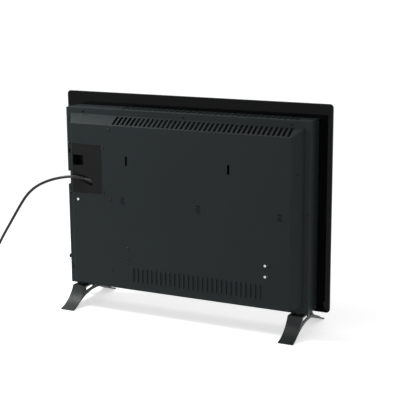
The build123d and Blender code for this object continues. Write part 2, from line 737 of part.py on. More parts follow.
clip_x = plug_radius - clip_groove + clip_sheet / 2
with BuildPart() as plug_earth_clips:
    with Locations((coil_end.X - clip_x, plug_y, plug_height / 2 + 1),
                   (coil_end.X + clip_x, plug_y, plug_height / 2 + 1)):
        Box(clip_sheet, clip_width, plug_height - 4)
keep(plug_earth_clips.part, "plug_earth_clips")

# Feet: a flared skin over two arched side ribs, hung under the casing on bosses.
plate_bottom = foot_plate_top - foot_plate_thickness
toe_top = 2.6
knee_top = (foot_knee_y + 0.5, foot_knee_z + foot_skin)


def foot_outline():
    """Side view of a foot: flared outer skin above, arch below."""
    with BuildLine() as outline:
        heel = (foot_heel_y, foot_plate_top)
        toe = (toe_reach, toe_top)
        tail = ThreePointArc(toe, (90.5, 6.2), knee_top)
        TangentArc(knee_top, heel, tangent=tail % 1)
        Line(heel, (foot_nose_y, foot_plate_top))
        Line((foot_nose_y, foot_plate_top), (foot_nose_y, glass_bottom - 2 * fit_gap))
        ThreePointArc((foot_nose_y, glass_bottom - 2 * fit_gap), (-30.5, 33.8), (-46.0, 27.0))
        ThreePointArc((-46.0, 27.0), (-61.5, 20.6), (-knee_top[0], knee_top[1]))
        ThreePointArc((-knee_top[0], knee_top[1]), (-90.5, 6.2), (-toe_reach, toe_top))
        Line((-toe_reach, toe_top), (-toe_reach, 0))
        Line((-toe_reach, 0), (-toe_reach + toe_depth, 0))
        ThreePointArc((-toe_reach + toe_depth, 0), (-88.0, 4.4), (-foot_knee_y, foot_knee_z))
        ThreePointArc((-foot_knee_y, foot_knee_z), (0, foot_arch_z), (foot_knee_y, foot_knee_z))
        ThreePointArc((foot_knee_y, foot_knee_z), (88.0, 4.4), (toe_reach - toe_depth, 0))
        Line((toe_reach - toe_depth, 0), (toe_reach, 0))
        Line((toe_reach, 0), toe)
    return outline.edges()


def foot_hollow():
    """Side view of the hollow under the skin, open below between the two ribs."""
    reach = foot_knee_y - 1
    rise = foot_knee_z + 0.6
    with BuildLine() as outline:
        ThreePointArc((reach, rise), (53.4, 28.8), (foot_heel_y - foot_skin, plate_bottom))
        Line((foot_heel_y - foot_skin, plate_bottom), (foot_nose_y + foot_skin, plate_bottom))
        ThreePointArc((foot_nose_y + foot_skin, plate_bottom), (-28.4, 32.3), (-45.3, 24.7))
        ThreePointArc((-45.3, 24.7), (-60.3, 18.5), (-reach, rise))
        Line((-reach, rise), (-reach, 0))
        Line((-reach, 0), (reach, 0))
        Line((reach, 0), (reach, rise))
    return outline.edges()


foot_edges = foot_outline()
hollow_edges = foot_hollow()


def foot(middle_x):
    """One foot centred on middle_x."""
    inner_width = foot_width - 2 * foot_rib
    with BuildPart() as piece:
        with BuildSketch(Plane.YZ.offset(middle_x)):
            make_face(foot_edges)
        extrude(amount=foot_width / 2, both=True)
        with BuildSketch(Plane.YZ.offset(middle_x)):
            make_face(hollow_edges)
        extrude(amount=inner_width / 2, both=True, mode=Mode.SUBTRACT)
        with BuildSketch(Plane.YZ.offset(middle_x)):
            Polygon((9, 44), (39.5, 44), (41.5, 35.5), (9, 38.5), align=None)
            Polygon((-15, 44), (0, 44), (0, 38.5), (-15, 37), align=None)
        extrude(amount=foot_width, both=True, mode=Mode.SUBTRACT)
        with Locations(*[(middle_x, y, foot_plate_top) for y in foot_screw_y]):
            Cylinder(foot_boss_radius, casing_bottom - foot_plate_top,
                     align=(Align.CENTER, Align.CENTER, Align.MIN))
            Cylinder(foot_screw_radius + screw_hole, 20, mode=Mode.SUBTRACT)
    return piece.part


keep(foot(foot_middle), "foot_left")
keep(foot(-foot_middle), "foot_right")

foot_screw_places = [(side * foot_middle, y, plate_bottom) for side in (-1, 1) for y in foot_screw_y]
with BuildPart() as foot_screws:
    pan_screws(foot_screw_places, down_turn, foot_screw_radius, foot_screw_length)
keep(foot_screws.part, "foot_screws")

# Screws and rivets on the back and the sides
for name, places in (("flange_screws", flange_screw_places), ("cover_screws", cover_screw_places),
                     ("element_screws", element_screw_places), ("housing_screws", housing_screw_places)):
    with BuildPart() as screws:
        pan_screws(places, rear_turn)
    keep(screws.part, name)

with BuildPart() as side_screws:
    pan_screws([(half_casing, y, z) for y, z in side_wall_screws], left_turn)
    pan_screws([(-half_casing, y, z) for y, z in side_wall_screws], right_turn)
keep(side_screws.part, "side_screws")

with BuildPart() as bevel_screw:
    pan_screws([bevel_screw_place], bevel_turn)
keep(bevel_screw.part, "bevel_screw")

with BuildPart() as nylon_rivets:
    with Locations(*[Location(place, rear_turn) for place in rivet_places]):
        Cylinder(rivet_radius, 1.2, align=(Align.CENTER, Align.CENTER, Align.MIN))
        Cylinder(screw_radius, 6, align=(Align.CENTER, Align.CENTER, Align.MAX))
keep(nylon_rivets.part, "nylon_rivets")

# Heating element: aluminium fins in a star round a sheathed core, punched across to let air through
left_web = element_left - bracket_flange * 0.45
right_web = rivet_right_x + 7.6
fin_left = left_web - fin_margin
fin_right = right_web + fin_margin
fin_length = fin_left - fin_right
cut_count = int(fin_length / fin_pitch) - 1
fin_plane = Plane.YZ.offset(fin_right)
with BuildPart() as element_fins:
    with BuildSketch(fin_plane):
        with Locations((element_y, element_z)):
            Circle(fin_tube_radius)
            with PolarLocations(0, fin_count):
                Rectangle(fin_reach, fin_thickness, align=(Align.MIN, Align.CENTER))
            Circle(core_radius + core_clearance, mode=Mode.SUBTRACT)
    extrude(amount=fin_length)
    for cut in range(1, cut_count + 1):
        with BuildSketch(Plane.YZ.offset(fin_right + fin_pitch * cut)):
            with Locations((element_y, element_z)):
                Circle(fin_reach + 1)
                Circle(fin_cut_start, mode=Mode.SUBTRACT)
        extrude(amount=fin_cut_width, mode=Mode.SUBTRACT)
keep(element_fins.part, "element_fins")

core_middle = (left_web + right_web) / 2
with BuildPart() as element_core:
    with Locations(Location((core_middle, element_y, element_z), left_turn)):
        Cylinder(core_radius, core_length)
keep(element_core.part, "element_core")

with BuildPart() as element_insulators:
    for web, side in ((left_web, 1), (right_web, -1)):
        with Locations(Location((web, element_y, element_z), (0, 90 * side, 0))):
            Cylinder(insulator_radius, 2 * 7, align=(Align.CENTER, Align.CENTER, Align.CENTER))
            Cylinder(insulator_collar, 3, align=(Align.CENTER, Align.CENTER, Align.MAX))
            Cylinder(core_radius + core_clearance, 40, mode=Mode.SUBTRACT)
keep(element_insulators.part, "element_insulators")

core_ends = [core_middle + core_length / 2, core_middle - core_length / 2]
with BuildPart() as element_terminals:
    with Locations((core_ends[0] + blade_length / 2, element_y, element_z),
                   (core_ends[1] - blade_length / 2, element_y, element_z)):
        Box(blade_length, blade_sheet, blade_width)
keep(element_terminals.part, "element_terminals")


def element_bracket(web, side, flange_far):
    """Angle bracket: a web with the bush hole and a flange against the inside of the cover."""
    web_front = element_y - 20
    with BuildPart() as bracket:
        with Locations((web + side * bracket_sheet / 2, (web_front + plateau_inner_y) / 2, element_z)):
            Box(bracket_sheet, plateau_inner_y - web_front, bracket_height)
        with Locations(((web + flange_far) / 2, plateau_inner_y - bracket_sheet / 2, element_z)):
            Box(abs(flange_far - web), bracket_sheet, bracket_height)
        with Locations(Location((web, element_y, element_z), left_turn)):
            Cylinder(insulator_radius + core_clearance, 4 * bracket_sheet, mode=Mode.SUBTRACT)
        with Locations(*[Location(place, rear_turn) for place in element_screw_places + rivet_places[:2]]):
            Cylinder(clear_screw, 40, mode=Mode.SUBTRACT)
    return bracket.part


keep(element_bracket(left_web, 1, element_left + 8), "element_bracket_left")
keep(element_bracket(right_web, -1, element_right - 7), "element_bracket_right")

# Heat shield: a sheet standing off the glass carrier on its two bent edges
shield_left = partition_x - 12
shield_right = -300.0
shield_bottom = 76.0
shield_top = 478.0
shield_middle = (shield_left + shield_right) / 2
shield_width = shield_left - shield_right
shield_foot = 9.0
with BuildPart() as heat_shield:
    with Locations((shield_middle, tray_back_y + shield_standoff - shield_sheet / 2,
                    (shield_bottom + shield_top) / 2)):
        Box(shield_width, shield_sheet, shield_top - shield_bottom)
    with Locations((shield_middle, tray_back_y + shield_standoff / 2, shield_bottom + shield_sheet / 2),
                   (shield_middle, tray_back_y + shield_standoff / 2, shield_top - shield_sheet / 2)):
        Box(shield_width, shield_standoff, shield_sheet)
    foot_shift = shield_foot / 2 - shield_sheet
    foot_levels = (shield_bottom - foot_shift, shield_top + foot_shift)
    with Locations(*[(shield_middle, tray_back_y + shield_sheet / 2, z) for z in foot_levels]):
        Box(shield_width, shield_sheet, shield_foot)
keep(heat_shield.part, "heat_shield")

# Partition between the hot chamber and the controls
partition_bottom = 72.0
partition_top = 459.0
grommet_y = 10.0
grommet_z = 225.0
grommet_neck = 5.8
cutout_y = 32.0
cutout_z = 250.0
cutout_radius = 8.0
cutout_height = 10.0
cutout_cap = 6.0
partition_middle_y = (tray_back_y + plateau_inner_y) / 2
partition_middle_z = (partition_bottom + partition_top) / 2
with BuildPart() as control_partition:
    with Locations((partition_x - partition_sheet / 2, partition_middle_y, partition_middle_z)):
        Box(partition_sheet, plateau_inner_y - tray_back_y, partition_top - partition_bottom)
    with Locations((partition_screw_x, plateau_inner_y - partition_sheet / 2, partition_middle_z)):
        Box(partition_flange, partition_sheet, partition_top - partition_bottom)
    with Locations(*[Location(place, rear_turn) for place in cover_screw_places]):
        Cylinder(clear_screw, 6, mode=Mode.SUBTRACT)
    with Locations(Location((partition_x, grommet_y, grommet_z), left_turn)):
        Cylinder(grommet_neck + fit_gap / 3, 6, mode=Mode.SUBTRACT)
    with Locations(Location((partition_x, cutout_y, cutout_z), left_turn)):
        Cylinder(cutout_cap + fit_gap / 3, 6, mode=Mode.SUBTRACT)
keep(control_partition.part, "control_partition")

lead_radius = 1.3
grommet_bore = 3.4
with BuildPart() as partition_grommet:
    with Locations(Location((partition_x - partition_sheet / 2, grommet_y, grommet_z), left_turn)):
        Cylinder(grommet_neck, partition_sheet + 3)
        Cylinder(grommet_neck + 2.2, partition_sheet + 3)
        Cylinder(grommet_neck + 4, partition_sheet, mode=Mode.SUBTRACT)
        Cylinder(grommet_neck, partition_sheet)
        Cylinder(grommet_bore, 12, mode=Mode.SUBTRACT)
keep(partition_grommet.part, "partition_grommet")

with BuildPart() as thermal_cutout:
    with Locations(Location((partition_x, cutout_y, cutout_z), left_turn)):
        Cylinder(cutout_radius, cutout_height, align=(Align.CENTER, Align.CENTER, Align.MIN))
        Cylinder(cutout_cap, 3, align=(Align.CENTER, Align.CENTER, Align.MAX))
keep(thermal_cutout.part, "thermal_cutout")

blade_x = partition_x + cutout_height + blade_length / 2
blade_offset = 4.0
with BuildPart() as cutout_terminals:
    with Locations(*[(blade_x, cutout_y, cutout_z + side * blade_offset) for side in (-1, 1)]):
        Box(blade_length, blade_width, blade_sheet)
keep(cutout_terminals.part, "cutout_terminals")

# Power board on four stand-offs, with what is soldered to it
board_front_y = tray_back_y + standoff_height
board_back_y = board_front_y + board_thickness
board_mid = ((board_left + board_right) / 2, (board_bottom + board_top) / 2)
board_screw_radius = 1.5
block_z = 245.0
with BuildPart() as power_board:
    with BuildSketch(facing_rear(board_front_y)):
        with Locations(board_mid):
            RectangleRounded(board_left - board_right, board_top - board_bottom, 2)
        with Locations(*board_holes):
            Circle(board_screw_radius + screw_hole, mode=Mode.SUBTRACT)
    extrude(amount=-board_thickness)
keep(power_board.part, "power_board")

with BuildPart() as board_standoffs:
    with BuildSketch(facing_rear(tray_back_y)):
        with Locations(*board_holes):
            RegularPolygon(4, 6)
            Circle(board_screw_radius + screw_hole, mode=Mode.SUBTRACT)
    extrude(amount=-standoff_height)
keep(board_standoffs.part, "board_standoffs")

with BuildPart() as board_screws:
    pan_screws([(x, board_back_y, z) for x, z in board_holes], rear_turn, board_screw_radius, 7)
keep(board_screws.part, "board_screws")


def board_block(name, x, z, width, height, depth):
    """A moulded block standing on the board's back."""
    with BuildPart() as block:
        with BuildSketch(facing_rear(board_back_y)):
            with Locations((x, z)):
                RectangleRounded(width, height, 1)
        extrude(amount=-depth)
    keep(block.part, name)


with BuildPart() as relays:
    with BuildSketch(facing_rear(board_back_y)):
        with Locations((board_mid[0] - 20, 220), (board_mid[0] + 6, 220)):
            RectangleRounded(16, 20, 1)
    extrude(amount=-15.5)
keep(relays.part, "relays")
board_block("transformer", board_mid[0] - 14, 160, 34, 30, 26)
board_block("filter_capacitor", board_mid[0] + 22, 170, 13, 26, 20)
board_block("terminal_block", board_mid[0] - 10, block_z, 40, 14, 14)

# Display behind the glass
display_front_y = glass_back_y + 0.2
holder_back_y = tray_back_y + 2.5
with BuildPart() as display_module:
    with BuildSketch(facing_rear(display_front_y)):
        with Locations((display_x, display_z)):
            Rectangle(display_width, display_height)
    extrude(amount=-(holder_back_y - display_front_y))
keep(display_module.part, "display_module")

with BuildPart() as display_holder:
    with BuildSketch(facing_rear(tray_back_y)):
        with Locations((display_x, display_z)):
            RectangleRounded(display_width + 30, display_height + 22, 2)
            Rectangle(display_width + 2, display_height + 2, mode=Mode.SUBTRACT)
    extrude(amount=-(holder_back_y - tray_back_y))
keep(display_holder.part, "display_holder")

with BuildPart() as display_board:
    with BuildSketch(facing_rear(holder_back_y)):
        with Locations((display_x, display_z)):
            RectangleRounded(display_width + 26, display_height + 18, 1)
    extrude(amount=-board_thickness)
keep(display_board.part, "display_board")

# Room sensor in its grooved cap on the side wall
cap_plane = Plane(origin=(half_casing, sensor_y, sensor_z), x_dir=(0, 1, 0), z_dir=(1, 0, 0))
with BuildPart() as sensor_cap:
    with BuildSketch(cap_plane):
        Circle(sensor_radius)
    extrude(amount=sensor_reach)
    with BuildSketch(cap_plane):
        Circle(sensor_radius - 1)
    extrude(amount=-7)
    for groove in (2.2, 4.6):
        with BuildSketch(cap_plane.offset(groove)):
            Circle(sensor_radius)
            Circle(sensor_radius - 0.8, mode=Mode.SUBTRACT)
        extrude(amount=1, mode=Mode.SUBTRACT)
    with BuildSketch(cap_plane.offset(-7)):
        Circle(sensor_radius - 2.2)
    extrude(amount=sensor_reach + 4, mode=Mode.SUBTRACT)
keep(sensor_cap.part, "sensor_cap")

with BuildPart() as room_sensor:
    with BuildSketch(cap_plane.offset(-9)):
        Circle(sensor_radius - 2.2 - fit_gap)
    extrude(amount=sensor_reach + 6)
keep(room_sensor.part, "room_sensor")

# Tip-over switch on the casing's floor: a weight hangs from a pin in an open box.
tilt_floor = casing_bottom + casing_sheet
tilt_width = 22.0
tilt_depth = 31.0
tilt_height = 36.0
tilt_wall = 2.0
tilt_pin_z = tilt_floor + tilt_height - 5
tilt_pin_radius = 1.2
bob_radius = 4.5
bob_drop = 18.0
with BuildPart() as tilt_switch_body:
    with Locations((tilt_x, tilt_y + 8, tilt_floor + tilt_height / 2)):
        Box(tilt_width, tilt_depth, tilt_height)
        with Locations((0, tilt_wall, 0)):
            Box(tilt_width - 2 * tilt_wall, tilt_depth, tilt_height - 2 * tilt_wall, mode=Mode.SUBTRACT)
    with Locations(Location((tilt_x, tilt_y + 9, tilt_pin_z), left_turn)):
        Cylinder(tilt_pin_radius + axle_clearance, tilt_width + 2, mode=Mode.SUBTRACT)
keep(tilt_switch_body.part, "tilt_switch_body")

pin_place = Location((tilt_x, tilt_y + 9, tilt_pin_z), left_turn)
with BuildPart() as tilt_pin:
    with Locations(pin_place):
        Cylinder(tilt_pin_radius, tilt_width)
keep(tilt_pin.part, "tilt_pin")

with BuildPart() as tilt_pendulum:
    with Locations((tilt_x, tilt_y + 9, tilt_pin_z - bob_drop / 2)):
        Box(4, 2.4, bob_drop)
    with Locations(Location((tilt_x, tilt_y + 9, tilt_pin_z - bob_drop), left_turn)):
        Cylinder(bob_radius, 10)
    with Locations(pin_place):
        Cylinder(2.8, 8)
        Cylinder(tilt_pin_radius + axle_clearance, 12, mode=Mode.SUBTRACT)
keep(tilt_pendulum.part, "tilt_pendulum")

# Leads from the element's terminals through the grommet to the terminal block
lead_offset = 1.7
block_y = board_back_y + 7
block_right = board_mid[0] - 10 - 20
lead_routes = []
for side, end in ((1, core_ends[0] + blade_length), (-1, core_ends[1] - blade_length)):
    near_z = grommet_z - side * lead_offset
    if side > 0:
        start = [Vector(end, element_y, element_z), Vector(end + 8, element_y, element_z),
                 Vector(partition_x - 12, grommet_y, near_z)]
    else:
        start = [Vector(end, element_y, element_z), Vector(end - 12, element_y, element_z),
                 Vector(end - 16, grommet_y, element_z + 50), Vector(partition_x - 40, grommet_y, near_z)]
    block_place = Vector(block_right, block_y, block_z - 2 * lead_offset * side)
    finish = [Vector(partition_x + 10, grommet_y, near_z), block_place - Vector(10, 0, 0), block_place]
    lead_routes.append(start + finish)
with BuildPart() as element_leads:
    for route in lead_routes:
        with BuildLine() as lead_path:
            FilletPolyline(*route, radius=[min(r, 12) for r in bend_radii(route)])
        lead_wire = lead_path.wires()[0]
        with BuildSketch(Plane(origin=lead_wire @ 0, z_dir=lead_wire % 0)):
            Circle(lead_radius)
        sweep(path=lead_wire)
keep(element_leads.part, "element_leads")
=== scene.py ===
# %% [markdown]
# # A glass convector heater, dressed in Blender
# The rigid pieces of this heater were drawn as solids in a CAD program, and they arrive here
# already in place. What they lack is surface: powder coat, moulded grain, polished glass, a cord
# that hangs as a real cord does. This file adds that, one step per cell.
# All lengths are in metres. X runs along the heater, +Y points out of its back, Z is up.

import bpy
import bmesh
import json
import math
from mathutils import Matrix, Vector


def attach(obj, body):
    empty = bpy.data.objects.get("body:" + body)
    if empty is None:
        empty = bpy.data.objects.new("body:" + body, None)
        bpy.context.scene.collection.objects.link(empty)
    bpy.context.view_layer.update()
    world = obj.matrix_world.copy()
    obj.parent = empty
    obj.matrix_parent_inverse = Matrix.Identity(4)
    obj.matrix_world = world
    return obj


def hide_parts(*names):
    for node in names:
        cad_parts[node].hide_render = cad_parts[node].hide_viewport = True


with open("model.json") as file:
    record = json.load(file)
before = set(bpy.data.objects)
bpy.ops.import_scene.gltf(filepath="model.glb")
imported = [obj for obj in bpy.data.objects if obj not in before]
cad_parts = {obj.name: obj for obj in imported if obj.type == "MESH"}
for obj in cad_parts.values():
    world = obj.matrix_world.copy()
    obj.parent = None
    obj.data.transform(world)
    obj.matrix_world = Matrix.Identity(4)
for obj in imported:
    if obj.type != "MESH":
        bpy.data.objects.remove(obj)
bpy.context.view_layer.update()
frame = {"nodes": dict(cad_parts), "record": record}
scene = bpy.context.scene

# %% [markdown]
# ## The camera
# The heater is seen from behind and a little above, from the side that has no cord. A long lens
# keeps its edges nearly parallel. The camera could be aimed with a constraint, but writing its
# matrix from three angles keeps the tilt of the picture exact.

# %% Place the camera
camera_place = Vector((-1.16443, 2.28908, 0.85270))
camera_azimuth = math.radians(206.403)
camera_elevation = math.radians(12.462)
camera_roll = math.radians(-0.431)
camera_data = bpy.data.cameras.new("camera")
camera_data.lens = 98.98
camera_data.sensor_width = 36.0
camera_data.sensor_fit = "HORIZONTAL"
camera_data.clip_start = 0.05
camera_data.clip_end = 80.0
camera = bpy.data.objects.new("camera", camera_data)
scene.collection.objects.link(camera)
towards_camera = Vector((
    math.sin(camera_azimuth) * math.cos(camera_elevation),
    -math.cos(camera_azimuth) * math.cos(camera_elevation),
    math.sin(camera_elevation),
))
turned = towards_camera.to_track_quat("Z", "Y").to_matrix() @ Matrix.Rotation(camera_roll, 3, "Z")
camera.matrix_world = Matrix.Translation(camera_place) @ turned.to_4x4()
scene.camera = camera
print("camera looks along", [round(v, 3) for v in -towards_camera])

# %% [markdown]
# ## The mains cord
# A mains lead is a soft rod of fixed length. It leaves its sleeve straight, rises a little
# because it is stiff, and then its own weight bends it down to the floor. A chain of straight
# tubes would look like bent wire. A NURBS curve is drawn towards its points instead of through
# them, so a few points along the hang give one smooth sweep.
# The spare length is wound into a coil, in and out again.

# %% The points that the cord follows
cord_diameter = 0.007
cord_exit = Vector((0.228, 0.062, 0.323))
cord_heading = Vector((26.0, 6.5, 7.0)).normalized()
bush_flange = 0.0025
sleeve_start = cord_exit + cord_heading * bush_flange
sleeve_length = 0.020
cord_start = sleeve_start + cord_heading * sleeve_length
floor_level = 0.0044
hanging_points = [
    cord_start,
    cord_start + cord_heading * 0.018,
    Vector((0.2940, 0.0780, 0.3330)),
    Vector((0.3340, 0.0825, 0.3240)),
    Vector((0.3740, 0.0840, 0.3075)),
    Vector((0.4040, 0.0845, 0.2855)),
    Vector((0.4270, 0.0840, 0.2580)),
    Vector((0.4660, 0.0835, 0.2000)),
    Vector((0.5050, 0.0820, 0.1430)),
    Vector((0.5330, 0.0790, 0.0860)),
    Vector((0.5520, 0.0740, 0.0385)),
    Vector((0.5700, 0.0580, 0.0070)),
    Vector((0.6000, 0.0360, floor_level)),
    Vector((0.6122, 0.0040, floor_level)),
    Vector((0.6122, -0.0260, floor_level)),
]
print("points along the hang:", len(hanging_points))

# %% The coil winds in on the lower layer and out on the upper one
coil_middle = Vector((0.6598, -0.0330, 0.0))
coil_radius = 0.0476
turn_pitch = 0.0076
points_per_turn = 16
turns_in = 2.0
turns_all = 3.5
climb_start = 1.75
climb_turns = 0.5
# A curve of order 3 runs inside its points; on a circle it keeps this share of the radius
pull_in = 0.75 + 0.25 * math.cos(math.tau / points_per_turn)


def coil_point(turns):
    """Where the coil's control point lies after so many turns."""
    radius = coil_radius - turn_pitch * (turns_in - abs(turns - turns_in))
    climb = min(max((turns - climb_start) / climb_turns, 0.0), 1.0)
    height = floor_level + turn_pitch * climb * climb * (3.0 - 2.0 * climb)
    angle = math.pi + math.tau * turns
    way = Vector((math.cos(angle), math.sin(angle), 0.0))
    return coil_middle + way * (radius / pull_in) + Vector((0.0, 0.0, height))


coil_count = int(turns_all * points_per_turn) + 1
coil_points = [coil_point(index / points_per_turn) for index in range(coil_count)]
plug_entry = Vector((0.7036, -0.0070, floor_level + turn_pitch))
cord_points = hanging_points + coil_points + [plug_entry + Vector((0.0, -0.012, 0.0)), plug_entry]
print("points in the coil:", len(coil_points))

# %% Make the cord as one curve
# The points carry the radius, because the curve's bounds are padded by it, and its default is 1 m
cord_curve = bpy.data.curves.new("mains_cord", "CURVE")
cord_curve.dimensions = "3D"
spline = cord_curve.splines.new("NURBS")
spline.points.add(len(cord_points) - 1)
for point, place in zip(spline.points, cord_points):
    point.co = (*place, 1.0)
    point.radius = cord_diameter / 2
spline.order_u = 3
spline.use_endpoint_u = True
spline.resolution_u = 8
cord_curve.bevel_depth = 1.0
cord_curve.bevel_resolution = 5
cord_curve.use_fill_caps = True
mains_cord = bpy.data.objects.new("mains_cord", cord_curve)
scene.collection.objects.link(mains_cord)
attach(mains_cord, "body")
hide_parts("power_cord", "cord_coil")
print("points in the cord:", len(spline.points))

# %% [markdown]
# ## The bend sleeve
# Where a cord leaves a housing, a soft tapered sleeve with rings spreads the bend so that the
# copper doesn't break. It is round, so one outline turned about the cord's axis makes it: that is
# what the spin operator does. The rings are steps in the outline.

# %% Spin the sleeve's outline round the cord
def spun(name, outline, place, heading, steps=40):
    """A round piece: outline is a list of (radius, distance along the axis)."""
    shape = bmesh.new()
    verts = [shape.verts.new((radius, 0.0, along)) for radius, along in outline]
    edges = [shape.edges.new(pair) for pair in zip(verts, verts[1:])]
    bmesh.ops.spin(shape, geom=verts + edges, cent=(0, 0, 0), axis=(0, 0, 1), dvec=(0, 0, 0),
                   angle=math.tau, steps=steps, use_merge=True, use_duplicate=False)
    bmesh.ops.remove_doubles(shape, verts=shape.verts, dist=1e-6)
    bmesh.ops.recalc_face_normals(shape, faces=shape.faces)
    turn = heading.to_track_quat("Z", "Y").to_matrix().to_4x4()
    bmesh.ops.transform(shape, matrix=Matrix.Translation(place) @ turn, verts=shape.verts)
    mesh = bpy.data.meshes.new(name)
    shape.to_mesh(mesh)
    shape.free()
    for face in mesh.polygons:
        face.use_smooth = True
    piece = bpy.data.objects.new(name, mesh)
    scene.collection.objects.link(piece)
    print(name, "faces", len(mesh.polygons))
    return piece


ring_count = 6
ring_step = sleeve_length / ring_count
first_ring_radius = 0.0051
sleeve_taper = 0.0011
groove_depth = 0.0004
sleeve_outline = [(0.0, 0.0), (0.0050, 0.0)]
for ring in range(ring_count):
    along = ring * ring_step
    crest = first_ring_radius - sleeve_taper * ring / (ring_count - 1)
    groove = crest - groove_depth
    sleeve_outline += [(crest, along + 0.0002), (crest, along + ring_step * 0.55)]
    sleeve_outline += [(groove, along + ring_step * 0.68), (groove, along + ring_step * 0.92)]
sleeve_outline += [(0.0036, sleeve_length), (0.0, sleeve_length)]
bend_sleeve = spun("bend_sleeve", sleeve_outline, sleeve_start, cord_heading)
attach(bend_sleeve, "body")
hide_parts("strain_relief")

# %% [markdown]
# ## Surface effects shared by many materials
# Real coatings are never one flat colour. Four effects recur on this heater: a fine grain, a slow
# cloudiness in the colour, edges lightened as wear and as a painted highlight, and dust on what faces
# up.
# Each is a node group with named sockets, built once and placed in the materials that need it.

# %% A small kit for building node groups
def new_group(name, inputs, outputs):
    """A shader group; inputs are numbers given as (name, default), outputs are (name, kind)."""
    group = bpy.data.node_groups.new(name, "ShaderNodeTree")
    for label, default in inputs:
        socket = group.interface.new_socket(name=label, in_out="INPUT", socket_type="NodeSocketFloat")
        socket.default_value = default
    for label, kind in outputs:
        group.interface.new_socket(name=label, in_out="OUTPUT", socket_type=kind)
    entry = group.nodes.new("NodeGroupInput")
    leave = group.nodes.new("NodeGroupOutput")
    return group, entry, leave


def maths(tree, operation, first, second=None, third=None, clamp=False):
    """A Math node; each operand is a socket or a number."""
    node = tree.nodes.new("ShaderNodeMath")
    node.operation = operation
    node.use_clamp = clamp
    for slot_index, value in enumerate((first, second, third)):
        if value is None:
            continue
        if isinstance(value, (int, float)):
            node.inputs[slot_index].default_value = value
        else:
            tree.links.new(value, node.inputs[slot_index])
    return node.outputs[0]


def noise(tree, place, scale, detail=3.0, roughness=0.5):
    """A Noise texture on the given coordinates; scale is a socket or a number."""
    node = tree.nodes.new("ShaderNodeTexNoise")
    node.inputs["Detail"].default_value = detail
    node.inputs["Roughness"].default_value = roughness
    tree.links.new(place, node.inputs["Vector"])
    if isinstance(scale, (int, float)):
        node.inputs["Scale"].default_value = scale
    else:
        tree.links.new(scale, node.inputs["Scale"])
    return node.outputs["Fac"]


def object_place(tree):
    """The place on the object, in metres."""
    return tree.nodes.new("ShaderNodeTexCoord").outputs["Object"]


# %% Fine grain: the orange peel of powder coat, the spark-eroded skin of a moulding
grain_group, entry, leave = new_group(
    "fine_grain", [("Scale", 900.0), ("Contrast", 1.0)],
    [("Height", "NodeSocketFloat"), ("Speckle", "NodeSocketFloat")])
place = object_place(grain_group)
coarse = noise(grain_group, place, entry.outputs["Scale"], 2.0, 0.45)
finer_scale = maths(grain_group, "MULTIPLY", entry.outputs["Scale"], 2.7)
fine = noise(grain_group, place, finer_scale, 1.0, 0.5)
fine_share = 0.45
blend = maths(grain_group, "MULTIPLY_ADD", fine, fine_share, coarse)
centred = maths(grain_group, "SUBTRACT", blend, (1.0 + fine_share) / 2)
height = maths(grain_group, "MULTIPLY", centred, entry.outputs["Contrast"])
grain_group.links.new(height, leave.inputs["Height"])
speckle = maths(grain_group, "MULTIPLY_ADD", centred, 2.0, 0.5, clamp=True)
grain_group.links.new(speckle, leave.inputs["Speckle"])
print("group", grain_group.name)

# %% Cloudiness: slow change of tone across a sprayed or moulded face
cloud_group, entry, leave = new_group("cloudy_tone", [("Scale", 9.0)], [("Tone", "NodeSocketFloat")])
place = object_place(cloud_group)
cloud = noise(cloud_group, place, entry.outputs["Scale"], 5.0, 0.6)
stretch = maths(cloud_group, "MULTIPLY_ADD", cloud, 2.2, -0.6, clamp=True)
cloud_group.links.new(stretch, leave.inputs["Tone"])
print("group", cloud_group.name)

# %% Lightened edges, wear and painted highlight: where the rounded normal departs from the flat one there is an edge
edge_wear_and_highlight_group, entry, leave = new_group(
    "edge_wear_and_highlight", [("Patchiness", 70.0)],
    [("Mask", "NodeSocketFloat"), ("Normal", "NodeSocketVector")])
rounded = edge_wear_and_highlight_group.nodes.new("ShaderNodeBevel")
rounded.samples = 4
rounded.inputs["Radius"].default_value = 0.0006
flat_normal = edge_wear_and_highlight_group.nodes.new("ShaderNodeNewGeometry").outputs["Normal"]
likeness = edge_wear_and_highlight_group.nodes.new("ShaderNodeVectorMath")
likeness.operation = "DOT_PRODUCT"
edge_wear_and_highlight_group.links.new(rounded.outputs["Normal"], likeness.inputs[0])
edge_wear_and_highlight_group.links.new(flat_normal, likeness.inputs[1])
departure = maths(edge_wear_and_highlight_group, "SUBTRACT", 1.0, likeness.outputs["Value"], clamp=True)
stronger = maths(edge_wear_and_highlight_group, "MULTIPLY", departure, 5.0, clamp=True)
patches = noise(edge_wear_and_highlight_group, object_place(edge_wear_and_highlight_group), entry.outputs["Patchiness"], 4.0, 0.6)
patchy = maths(edge_wear_and_highlight_group, "MULTIPLY_ADD", patches, 2.4, -0.75, clamp=True)
# This edge mask lightens the colour along edges: partly wear, partly a painted highlight.
edge_wear_and_highlight_group.links.new(maths(edge_wear_and_highlight_group, "MULTIPLY", stronger, patchy), leave.inputs["Mask"])
edge_wear_and_highlight_group.links.new(rounded.outputs["Normal"], leave.inputs["Normal"])
print("group", edge_wear_and_highlight_group.name)

# %% Dust: settles on faces that look up, in drifts
dust_group, entry, leave = new_group(
    "settled_dust", [("Amount", 0.3)], [("Mask", "NodeSocketFloat")])
up_normal = dust_group.nodes.new("ShaderNodeNewGeometry").outputs["Normal"]
split = dust_group.nodes.new("ShaderNodeSeparateXYZ")
dust_group.links.new(up_normal, split.inputs[0])
facing_up = maths(dust_group, "MULTIPLY_ADD", split.outputs["Z"], 1.6, -0.5, clamp=True)
drift = noise(dust_group, object_place(dust_group), 38.0, 6.0, 0.7)
drift = maths(dust_group, "MULTIPLY_ADD", drift, 2.6, -0.8, clamp=True)
dusty = maths(dust_group, "MULTIPLY", facing_up, drift)
settled = maths(dust_group, "MULTIPLY", dusty, entry.outputs["Amount"])
dust_group.links.new(settled, leave.inputs["Mask"])
print("group", dust_group.name)
